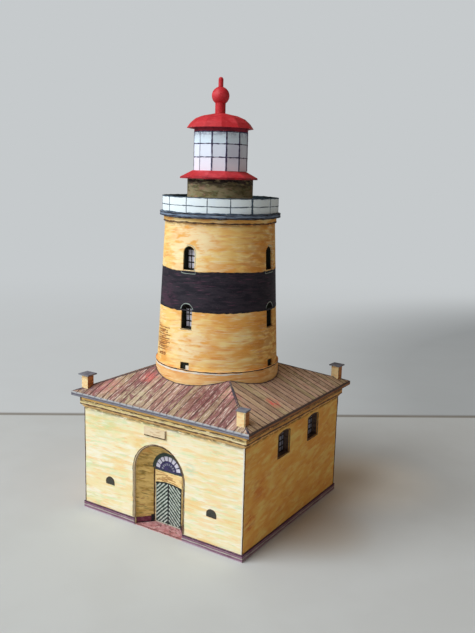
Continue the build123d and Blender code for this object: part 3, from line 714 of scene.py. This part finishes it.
def drawPortal():
    # the moulding drawn round the doorway, between two hand-drawn lines
    ring, lines = sheets(11, 2)
    x, radius, foot = portalRing["x"], portalRing["radius"], plinthTop + 0.1
    outer = even([(x - radius, foot)] + arc(x, portalRing["spring"], radius, 40) + [(x + radius, foot)], 1.0)
    inner = []
    for a, b in outer:
        if b <= archSpring:
            inner.append((math.copysign(portalHalf, a), b))
        else:
            way = Vector((a, b - archSpring)).normalized() * portalHalf
            inner.append((way.x, archSpring + way.y))
    ring.strip(front, outer, inner)
    lines.line(front, outer, 0.22, 0.06, 1.0, overLift, 0.5)
    lines.line(front, inner, 0.26, 0.03, 1.0, overLift, 0.4)
    addPiece("portalRing", ring, "ringInk")
    addPiece("portalLines", lines, "brownInk")


def drawFrontWall():
    # what was ruled on the front: corner line, plaque shadow, vent rims
    lines, pale, dark = sheets(21, 3)
    edge = wallReach - 0.15
    lines.line(front, [(-edge, plinthTop), (-edge, corniceFoot)], 0.3, 0.05, 1.2)
    pale.box(front, edge - 0.35, edge + 0.12, plinthTop, corniceFoot, 0.03)
    for points in solids("wall_plaque"):
        spot = squareOn(points, (-90,))
        plaque = onWall(-90, spot["reach"])
        left, right = spot["at"] - spot["half"], spot["at"] + spot["half"]
        foot, head = spot["foot"], spot["head"]
        lines.line(plaque, [(left + 0.1, foot + 0.17), (right - 0.1, foot + 0.17)], 0.32, 0.03)
        lines.line(plaque, [(right - 0.2, foot + 0.1), (right - 0.2, head - 0.1)], 0.38, 0.03)
    for points in solids("wall_vents"):
        spot = squareOn(points, (-90,))
        half, foot = spot["half"] - 0.9, spot["foot"] + 0.9
        around = [(spot["at"] - half, foot)] + arc(spot["at"], ventSpring, half)
        around += [(spot["at"] + half, foot), (spot["at"] - half, foot)]
        dark.patch(front, around[:-1])
        lines.line(front, around, 0.2, 0.04, 0.6, overLift, 0.5)
    addPiece("frontLines", lines, "brownInk")
    addPiece("frontEdge", pale, "paperAndHighlight")
    addPiece("ventFill", dark, "ventInk")


def drawCornice():
    # brown pen along the moulding, a firm line at its fold and a broken one above
    lines = Sheet(random.Random(22))
    hand, end, fold, upper = lines.hand, corniceReach, 40.0, 41.4
    for turn in wallTurns:
        place = onWall(turn, corniceReach)
        lines.line(place, [(-end, fold), (end, fold)], 0.5, 0.07, 1.2, inkLift, 0.5)
        at = -end
        while at < end - 2:
            stop = min(at + hand.uniform(3, 11), end)
            path = [(x, upper + hand.uniform(-0.1, 0.1)) for x in (at, stop)]
            lines.line(place, path, 0.26, 0.06, 1.0, inkLift, 0.6)
            at = stop + hand.uniform(0.0, 1.5)
    lines.line(onWall(-90, end), [(-end + 0.3, upper + 0.1), (-end + 0.3, upper + 1.6)], 0.7, 0.05, 0.5)
    addPiece("corniceLines", lines, "umberInk")


def drawCorners():
    # pen down the folded corners of the other walls
    lines = Sheet(random.Random(23))
    for turn in (0, 90, 180):
        for at in (-wallReach + 0.2, wallReach - 0.2):
            lines.line(onWall(turn, wallReach), [(at, plinthTop), (at, corniceFoot)], 0.5, 0.05, 1.2)
    addPiece("cornerLines", lines, "brownInk")


def drawPlinth():
    # a pale line round the plinth, and the doorway's own purple foot
    lines, purple, dark = sheets(25, 3)
    paleLine, darkTop = 1.25, 3.0  # heights
    for turn in wallTurns:
        runs = [(-plinthReach, plinthReach)]
        if turn == -90:
            runs = [(side * portalHalf, side * plinthReach) for side in (-1, 1)]
        for start, end in runs:
            lines.line(onWall(turn, plinthReach), [(start, paleLine), (end, paleLine)], 0.22, 0.06, 1.2)
    for side in (-1, 1):
        place = onJamb(side)
        purple.box(place, 0.1, jambDepth - 0.1, floorCard, plinthTop, 0.04)
        dark.box(place, jambDepth - 1.4, jambDepth - 0.1, floorCard, darkTop, 0.06, overLift)
        dark.line(place, [(0.3, floorCard + 0.2), (jambDepth, floorCard + 0.2)], 0.3, 0.05, 0.8, overLift)
    addPiece("plinthLines", lines, "palePencil")
    addPiece("doorwayPlinth", purple, "purplePencil")
    addPiece("doorwayFoot", dark, "blackInk")


def onArch(share, turn, lift):
    # the splayed arch over the doorway: share is 0 at the wall and 1 at the fan of panes
    c, s = turned(turn)
    r = portalHalf + (jambEnd - portalHalf) * share - lift
    inward = (wallReach - cardThick - doorReach) * share
    return Vector((r * c, -wallReach + cardThick + inward, archSpring + r * s)) * mm


def drawJambs():
    # level strokes and the two lines down each side of the doorway, and the green rim under the arch
    lines, soft, rim = sheets(27, 3)
    hand = lines.hand
    for side in (-1, 1):
        place = onJamb(side)
        lines.line(place, [(jambDepth - 0.3, floorCard), (jambDepth - 0.3, archSpring - 0.25)], 0.5, 0.04)
        for k in range(5):
            up = 3.6 + 3.1 * k + hand.uniform(-1.0, 1.0)
            start = hand.uniform(0.8, 2.2)
            end = min(start + hand.uniform(1.2, 3.0), jambDepth - 0.8)
            soft.line(place, [(start, up), (end, up + hand.uniform(-0.3, 0.3))], 0.3, 0.04, 0.6)
    outer, inner = ([(share, 180 - 6 * k) for k in range(31)] for share in (0.86, 0.985))
    rim.strip(onArch, outer, inner, lift=0.12)
    addPiece("archRim", rim, "greenInk")
    addPiece("jambLines", lines, "brownInk")
    addPiece("jambStrokes", soft, "streakPencil")


def drawThreshold():
    # dark specks and the front line on the floor of the doorway
    specks = Sheet(random.Random(29))
    hand, end = specks.hand, portalHalf - 0.3

    def onFloor(along, out, lift):
        return Vector((along, -out, floorCard + lift)) * mm
    specks.line(onFloor, [(-end, wallReach - 0.25), (end, wallReach - 0.25)], 0.3)
    for k in range(30):
        out = hand.uniform(doorReach + 0.4, wallReach - 1.0)
        reach = jambEnd + (portalHalf - jambEnd) * (out - doorReach) / (wallReach - doorReach) - 0.6
        at = hand.uniform(-reach, reach)
        specks.line(onFloor, [(at - 0.25, out), (at + hand.uniform(0.1, 0.5), out)], 0.16, 0.04, 0.4)
    addPiece("thresholdSpecks", specks, "brownInk")


onDoor = onWall(-90, doorReach)
doorHalf = high("door_leaves").x
doorCorner = 15.15  # height of the door's upper corners, under the curved lintel
doorTop = high("door_leaves").z
lintelTop = high("door_lintel").z


def doorHead(at):
    # the height of the curved lintel's lower edge
    return doorCorner + (doorTop - doorCorner) * (1 - (at / doorHalf) ** 2)


def drawFan(hand):
    # the fan of panes over the lintel: eight panes and eight patches round its hub
    panes, hub, edge, sheetDark = [Sheet(hand) for k in range(4)]
    fan = dict(x=-0.15, z=lintelTop + 0.5, radius=5.35, first=16.4, step=21.1)

    def onFan(r, turn, shake=0.8):
        c, s = turned(turn + hand.uniform(-shake, shake))
        return fan["x"] + fan["radius"] * r * c, fan["z"] + fan["radius"] * r * s
    for k in range(8):
        turn = fan["first"] + fan["step"] * k
        panes.patch(onDoor, [onFan(0.70, turn - 8), onFan(0.99, turn - 8), onFan(1.0, turn, 0),
                             onFan(0.99, turn + 8), onFan(0.70, turn + 8)], overLift)
        hub.patch(onDoor, [onFan(0.40, turn - 6), onFan(0.54, turn - 6), onFan(0.54, turn + 6),
                           onFan(0.40, turn + 6)], overLift)
    sheetDark.line(onDoor, [onFan(1.13, 6 + 12 * k, 0) for k in range(15)], 1.2, 0.05, 0.6)
    edge.line(onDoor, [(-6.2, lintelTop + 0.2), (6.2, lintelTop + 0.2)], 0.4, 0.04, 0.6)
    addPiece("fanHub", hub, "paneDim")
    addPiece("fanRing", sheetDark, "greenInk")
    addPiece("fanPanes", panes, "fanWhite")
    addPiece("fanEdge", edge, "greenInk")


def drawDoor():
    # boards rise to the middle line on both leaves, with the lintel above
    boards, dark, pale, soft = sheets(31, 4)
    hand, half, foot, pitch = boards.hand, doorHalf, floorCard, 1.46
    for side, light in ((-1, 0.46), (1, 0.44)):
        for k in range(int((doorTop - foot + half) / pitch) + 1):
            start = foot + 0.9 + pitch * k  # the height this board reaches at the middle line
            line = [(0.25 + 0.25 * j, start - 0.25 - 0.25 * j) for j in range(int((half - 0.6) / 0.25) + 1)]
            line = [(side * a, b) for a, b in line if foot + 0.55 < b < doorHead(a) - 0.3]
            if len(line) > 2:
                boards.line(onDoor, [line[0], line[-1]], light, 0.04, 0.5, inkLift, 0.35)
    dark.line(onDoor, [(0, foot), (0, doorTop - 0.2)], 0.4, 0.04, 0.8, overLift)
    curve = [(a * half / 8, doorHead(a * half / 8) - 0.1) for a in range(-7, 8)]
    curve = [(-half + 0.1, doorCorner - 0.1)] + curve + [(half - 0.1, doorCorner - 0.1)]
    dark.line(onDoor, curve, 0.4, 0.04, 0.6, overLift)
    at = -half + 0.28
    pale.line(onDoor, [(at, foot + 0.3), (at, doorCorner - 0.3)], 0.28, 0.04, 0.8, overLift)
    pale.box(onDoor, -half + 0.2, half - 0.1, foot + 0.05, foot + 0.5, 0.05, overLift)
    dark.line(onDoor, [(half - 0.15, foot), (half - 0.15, doorCorner)], 0.28, 0.04, 0.8, overLift)
    for k in range(6):
        a, b = sorted((hand.uniform(-5.6, 5.6), hand.uniform(-5.6, 5.6)))
        alongs = [a + (b - a) * j / 6 for j in range(7)]
        rises = [(at, doorHead(at) + 0.5 + 0.45 * k) for at in alongs]
        rises = [(at, up) for at, up in rises if up < lintelTop - 0.3]
        soft.line(onDoor, rises or [(a, lintelTop - 1), (b, lintelTop - 1)], 0.3, 0.04, 0.5)
    addPiece("lintelStrokes", soft, "streakPencil")
    addPiece("doorBoards", boards, "boardPencil")
    addPiece("doorLines", dark, "blackInk")
    addPiece("doorPale", pale, "palePencil")
    drawFan(hand)


# a window's panes: the first one's foot, the rise to the next row, a pane's height, and shares of the width
housePanes = dict(rows=4, foot=0.45, pitch=2.0, tall=1.4,
                  columns=((0.05, 0.135), (0.2, 0.36), (0.64, 0.8), (0.865, 0.95)))
towerPanes = dict(rows=3, foot=0.4, pitch=2.2, tall=1.7, columns=((0.07, 0.30), (0.385, 0.615), (0.70, 0.93)))


def drawHouseWindows():
    # panes on the sheets behind the openings, and a pen line round each opening
    panes, lines = sheets(37, 2)
    rise = 0.7  # of the low curve at the head
    for points in solids("window_panes"):
        spot = squareOn(points, (0, 90, 180))
        thick, half = spot["thick"], spot["half"] - spot["thick"]
        left, width, foot = spot["at"] - half, 2 * half, spot["foot"] + thick
        panes.panes(onWall(spot["turn"], spot["reach"]), left, width, foot, housePanes)
        right, head = left + width, spot["head"] - thick - rise
        around = [(left, foot), (right, foot), (right, head)]
        around += [(left + width * (1 - k / 8), head + rise * (1 - (k / 4 - 1) ** 2)) for k in range(1, 8)]
        around += [(left, head), (left, foot)]
        lines.line(onWall(spot["turn"], wallReach), around, 0.45, 0.05, 0.8, inkLift, 0.35)
    addPiece("housePanes", panes, "paneDim")
    addPiece("houseWindowLines", lines, "brownInk")


def drawTowerWindows():
    # panes on the sheets behind the openings, and pale lines round each opening and under it
    panes, pale, dark = sheets(41, 3)
    for points in solids("tower_window_panes"):
        spot = squareOn(points, towerTurns)
        half = spot["half"] - spot["thick"]
        foot, head = spot["foot"] + spot["thick"], spot["head"] - spot["thick"]
        panes.panes(onWall(spot["turn"], spot["reach"]), spot["at"] - half, 2 * half, foot, towerPanes)
        wall = onTower(spot["turn"])
        start = foot - 0.2 if foot < bandTop - 5 else bandTop + 0.3
        around = [(-half - 0.35, start)] + arc(0, head - half, half + 0.35, 16) + [(half + 0.35, start)]
        end, sill = half + 0.5, foot - 1.1
        if foot > bandTop - 1:
            pale.line(wall, around[7:], 0.16, 0.06, 0.6, inkLift, 0.7)
            pale.line(wall, [(-end, sill), (end, sill)], 0.2, 0.05, 0.6, 0.07)
            for at in (-end, end):
                pale.line(wall, [(at, sill), (at, foot - 0.4)], 0.16, 0.04, 0.4, 0.07)
        else:
            pale.line(wall, [p for p in around if p[1] > bandLow + 0.3], 0.22, 0.05, 0.6, 0.07, 0.5)
            dark.line(wall, [(-half - 0.2, foot - 0.1), (half + 0.2, foot - 0.1)], 0.2, 0.05, 0.6)
    addPiece("towerPanes", panes, "paneWhite")
    addPiece("towerPale", pale, "dimPencil")
    addPiece("towerWindowLines", dark, "brownInk")


def drawTower():
    # lines round the tower at the ring, the band and the top, a painted highlight along the lit front of the
    # ring, a scribble of pencil low on the left, and pale slots in the front vents
    dark, brown, soft, pale, cream = sheets(43, 5)
    hand, top = dark.hand, high("tower_cornice")
    for up in (bandLow, bandTop):
        dark.ring(towerRadius(up), up, 60, 0.5, 0.1, 1.5, 0.07, 0.4)
    brown.ring(top.x, towerTop + 0.2, 60, 0.45, 0.08, 1.5, inkLift, 0.5)
    brown.ring(top.x, top.z - 0.15, 60, 0.3, 0.08, 1.5, inkLift, 0.5)
    scribble = dict(turn=-121, foot=58.6, step=0.52, count=20)
    for k in range(scribble["count"]):
        up = scribble["foot"] + scribble["step"] * k + hand.uniform(-0.2, 0.2)
        a, b = hand.uniform(-5.0, 0.0), hand.uniform(2.0, 5.5)
        path = [(a, up), (b, up + hand.uniform(0.1, 0.7))]
        soft.line(onTower(scribble["turn"]), path, 0.3, 0.06, 0.8, inkLift, 0.5)
    addPiece("towerScribble", soft, "scribblePencil")
    dark.ring(ringReach, ringTop - 0.2, 60, 0.34, 0.08, 1.5, inkLift, 0.4)
    # a painted highlight along the ring's front, the side toward the lamp
    around = [(ringReach * math.radians(-150 + 3 * k), ringTop - 0.75) for k in range(40)]
    pale.line(onDrum(ringReach), around, 0.5, 0.08, 1.5, inkLift, 0.5)
    addPiece("ringHighlight", pale, "paperAndHighlight")
    addPiece("bandEdges", dark, "blackInk")
    addPiece("towerLines", brown, "brownInk")
    # the tower's vent panels are dark as painted shade in their openings; each front vent keeps a pale slot
    # of backing where light falls in
    slot = dict(left=0.1, right=1.45, foot=55.3, head=57.1)  # the pale slot in each front vent
    for points in solids("tower_vent_panels"):
        spot = squareOn(points, towerTurns)
        if spot["turn"] < -60:
            cream.box(onWall(spot["turn"], spot["reach"]), *slot.values(), 0.1)
    addPiece("ventCream", cream, "paperAndHighlight")


def drawRoof():
    # the gaps between the boards, the hips and the pen where the roof meets the ring
    lines, hips = sheets(47, 2)
    hand, inner, radius = lines.hand, low("roof_right").x, ringReach + 0.25
    count = int(eaveReach // boardWidth)
    for turn in wallTurns:
        place = onRoof(turn)
        for k in range(-count, count + 1):
            at = k * boardWidth + hand.uniform(-0.3, 0.3)
            start = max(abs(at) + 0.3, math.sqrt(max(ringReach ** 2 - at ** 2, 0)), inner) + 0.1
            if start < eaveReach - 1:
                path = [(at, start), (at + hand.uniform(-0.2, 0.2), eaveReach - 0.3)]
                lines.line(place, path, 0.34, 0.05, 1.0, inkLift, 0.5)
        for side in (-1, 1):
            path = [(side * (inner + 0.6), inner + 0.9), (side * (eaveReach - 0.7), eaveReach - 0.4)]
            hips.line(place, path, 0.32, 0.05, 1.0, inkLift, 0.4)
    around = []
    for k in range(91):
        c, s = turned(4 * k)
        around.append((radius * math.radians(4 * k), roofHeight(radius * max(abs(c), abs(s))) + 0.15))
    hips.line(onDrum(radius), around, 0.24, 0.05, 1.0, inkLift, 0.4)
    addPiece("roofLines", lines, "roofInk")
    addPiece("hipLines", hips, "hipInk")


def drawChimneys():
    # a thin pen line down the front corner of each chimney
    lines = Sheet(random.Random(53))
    for points in solids("chimney_shafts"):
        spot = squareOn(points, (-90,))
        right = spot["at"] + spot["half"] - 0.1
        foot = roofHeight(max(abs(right), abs(spot["reach"]))) + 0.3
        lines.line(onWall(-90, spot["reach"]), [(right, foot), (right, spot["head"] - 0.3)], 0.16, 0.03, 0.6)
    addPiece("chimneyLines", lines, "brownInk")


def drawGallery():
    # posts and rails on the parapet's sheet, drawn in blue-grey
    lines, edge = sheets(59, 2)
    thick, last = -25.2, -0.9  # the turns of the one thick post and of the last that isn't evenly set
    radius, foot, head = high("gallery_parapet").x, low("gallery_parapet").z, high("gallery_parapet").z
    for turn in [-113.7, -89.7, -68.5, -47.0, thick, last] + [last + 22.5 * k for k in range(1, 11)]:
        at = radius * math.radians(turn)
        lines.line(onDrum(radius), [(at, foot + 0.2), (at + lines.hand.uniform(-0.1, 0.1), head - 0.1)],
                   0.7 if turn == thick else 0.26, 0.04, 0.7)
    for up, width in ((head - 0.12, 0.3), (foot + 2.5, 0.24), (foot + 0.15, 0.36)):
        lines.ring(radius, up, 64, width, 0.06, 1.2, inkLift, 0.5)
    addPiece("parapetLines", lines, "blueInk")
    for up in (low("gallery_deck").z + 0.2, high("gallery_deck").z - 0.2):
        edge.ring(high("gallery_deck").x, up, 64, 0.3, 0.06, 1.2, inkLift, 0.5)
    addPiece("deckLines", edge, "blackInk")


def drawLantern():
    # glazing bars at the folds and across, one facet at a time
    lines, rails = sheets(61, 2)
    left, right = low("lantern_glazing"), high("lantern_glazing")
    hand, centre, flat = lines.hand, (left + right) / 2, (right.x - left.x) / 2
    half = flat * math.tan(math.radians(15))
    foot, head = high("lantern_skirt").z, glazingTop
    for turn in range(0, 360, 30):
        place = onWall(turn, flat, centre)
        sharp = hand.uniform(-0.1, 0.1)
        for edge, fold in ((half, turn + 15), (-half, turn - 15)):
            width = 0.12 if fold % 360 == 255 else 0.27
            at = edge - math.copysign(width / 2, edge)
            lines.line(place, [(at, foot), (at + sharp * 0.5, head)], width, 0.02, 0.8, inkLift, 0.4)
        for up in glazingRails:
            rails.line(place, [(-half, up + sharp), (half, up + hand.uniform(-0.1, 0.1))], 0.32, 0.03, 0.6,
                       inkLift, 0.5)
        rails.line(place, [(-half, head - 0.15), (half, head - 0.15)], 0.34, 0.04, 0.6, inkLift, 0.5)
    addPiece("glazingBars", lines, "violetInk")
    addPiece("glazingRails", rails, "violetInk")


for draw in (drawPortal, drawFrontWall, drawCornice, drawCorners, drawPlinth, drawJambs, drawThreshold,
             drawDoor, drawHouseWindows, drawTowerWindows, drawTower, drawRoof, drawChimneys, drawGallery,
             drawLantern):
    draw()
print("drawing done")

# the table top runs back to a soft seam, marked by a dark line of painted shade in the crease, with the same
# pale card beyond it; patches are a paler one past the right wall's back corner, painted light, and a browner
# one beside that wall, painted warm shade, as colour, place, size and strength
ground = dict(near=(204, 208, 208), far=(198, 202, 204), creaseShade=(120, 112, 100), seam=97.0, facing=126.1,
              glow=0.55, wide=(500.0, 1200.0), reach=4.0,
              patches=[((240, 238, 230), (40.0, 50.0, 0.0), 38.0, 0.85),
                       ((188, 178, 164), (44.0, 0.0, 0.0), 24.0, 0.6)],
              backdropShadow=((142, 146, 148), (205.0, 300.0, 0.0), 400.0, 1.6))
card = Card("tableTop", 0.9)
c, s = turned(ground["facing"])
back = card.maths("ADD", card.times(card.x, c), card.times(card.y, s))
card.colour = ground["near"]
# painted shade in the crease where the table meets the backdrop
card.lay(ground["creaseShade"], card.lineAt(back, ground["seam"], 3.2, 0.8))
# painted light past the back corner and painted warm shade beside the right wall
for over, at, size, strength in ground["patches"]:
    card.lay(over, card.pencilAndLightSpot(at, size, strength))
mottle = put(card.tree, "TexNoise", {"Vector": card.place, "Scale": 0.03, "Detail": 3.0}).outputs["Fac"]
card.lay((184, 184, 180), card.between(mottle, 0.4, 0.6, 0.0, 0.12))
feed(card.tree, card.shader.inputs["Base Color"], card.colour)
away = card.vector("LENGTH", card.place).outputs["Value"]
glow = card.times(card.between(back, ground["seam"], ground["seam"] + 2.0),
                  card.between(back, ground["seam"], ground["seam"] + 500.0, ground["glow"], 1.0))
rays = put(card.tree, "LightPath").outputs
seen = card.maths("MAXIMUM", rays["Is Camera Ray"], rays["Is Glossy Ray"])
seen = card.maths("MAXIMUM", seen, rays["Is Transmission Ray"])
seen = card.times(seen, card.maths("MAXIMUM", glow, card.between(away, *ground["wide"])))
# a painted shadow on the backdrop to the right of the model
over, *spot = ground["backdropShadow"]
shade = card.blend(card.pencilAndLightSpot(*spot), ground["far"], over)
pale = put(card.tree, "Emission", {"Color": shade, "Strength": 1.0})
choose = put(card.tree, "MixShader", {0: seen, 1: card.shader.outputs[0], 2: pale.outputs[0]})
feed(card.tree, card.tree.nodes["Material Output"].inputs[0], choose.outputs[0])
mesh = bpy.data.meshes.new("floor")
r = ground["reach"]
mesh.from_pydata([(-r, -r, 0), (r, -r, 0), (r, r, 0), (-r, r, 0)], [], [(0, 1, 2, 3)])
floor = bpy.data.objects.new("floor", mesh)
mesh.materials.append(card.material)
bpy.context.scene.collection.objects.link(floor)

# the camera looks along its azimuth, tipped down by the elevation
view = dict(place=(0.1451, -0.2161, 0.1222), azimuth=32.32, elevation=11.13, roll=1.60, lens=41.32)
(azimuthCos, azimuthSin), (tipCos, tipSin), (rollCos, rollSin) = (
    turned(view[angle]) for angle in ("azimuth", "elevation", "roll"))
behind = Vector((azimuthSin * tipCos, -azimuthCos * tipCos, tipSin))
level = Vector((azimuthCos, azimuthSin, 0))
above = behind.cross(level)
right = level * rollCos + above * rollSin
up = above * rollCos - level * rollSin
camera = bpy.data.objects.new("camera", bpy.data.cameras.new("camera"))
camera.matrix_world = Matrix.Translation(view["place"]) @ Matrix((right, up, behind)).transposed().to_4x4()
camera.data.lens = view["lens"]
camera.data.clip_start = 0.01
bpy.context.scene.collection.objects.link(camera)
bpy.context.scene.camera = camera

# one big soft lamp like a window on the left, and a low warm room around
lamp = dict(toward=(-0.38, -0.65, 0.66), away=1.1, size=1.0, watts=15.4, colour=(248, 252, 255), height=0.07)
light = bpy.data.lights.new("windowLight", "AREA")
light.size = lamp["size"]
light.energy = lamp["watts"]
light.color = tone(*lamp["colour"])[:3]
window = bpy.data.objects.new("windowLight", light)
toward = Vector(lamp["toward"]).normalized()
window.location = toward * lamp["away"] + Vector((0, 0, lamp["height"]))
window.rotation_euler = toward.to_track_quat("Z", "Y").to_euler()
bpy.context.scene.collection.objects.link(window)
room = dict(strength=0.175, colour=(255, 232, 208), backdrop=(198, 202, 204))
world = bpy.data.worlds.new("room")
world.use_nodes = True
air = world.node_tree.nodes["Background"]
feed(world.node_tree, air.inputs["Strength"], room["strength"])
feed(world.node_tree, air.inputs["Color"], room["colour"])
seen = put(world.node_tree, "Background", {"Color": room["backdrop"], "Strength": 1.0})
rays = put(world.node_tree, "LightPath").outputs
choose = put(world.node_tree, "MixShader", {0: rays["Is Camera Ray"], 1: air.outputs[0], 2: seen.outputs[0]})
feed(world.node_tree, world.node_tree.nodes["World Output"].inputs[0], choose.outputs[0])
bpy.context.scene.world = world
bpy.context.scene.view_settings.view_transform = "Standard"

print("done")
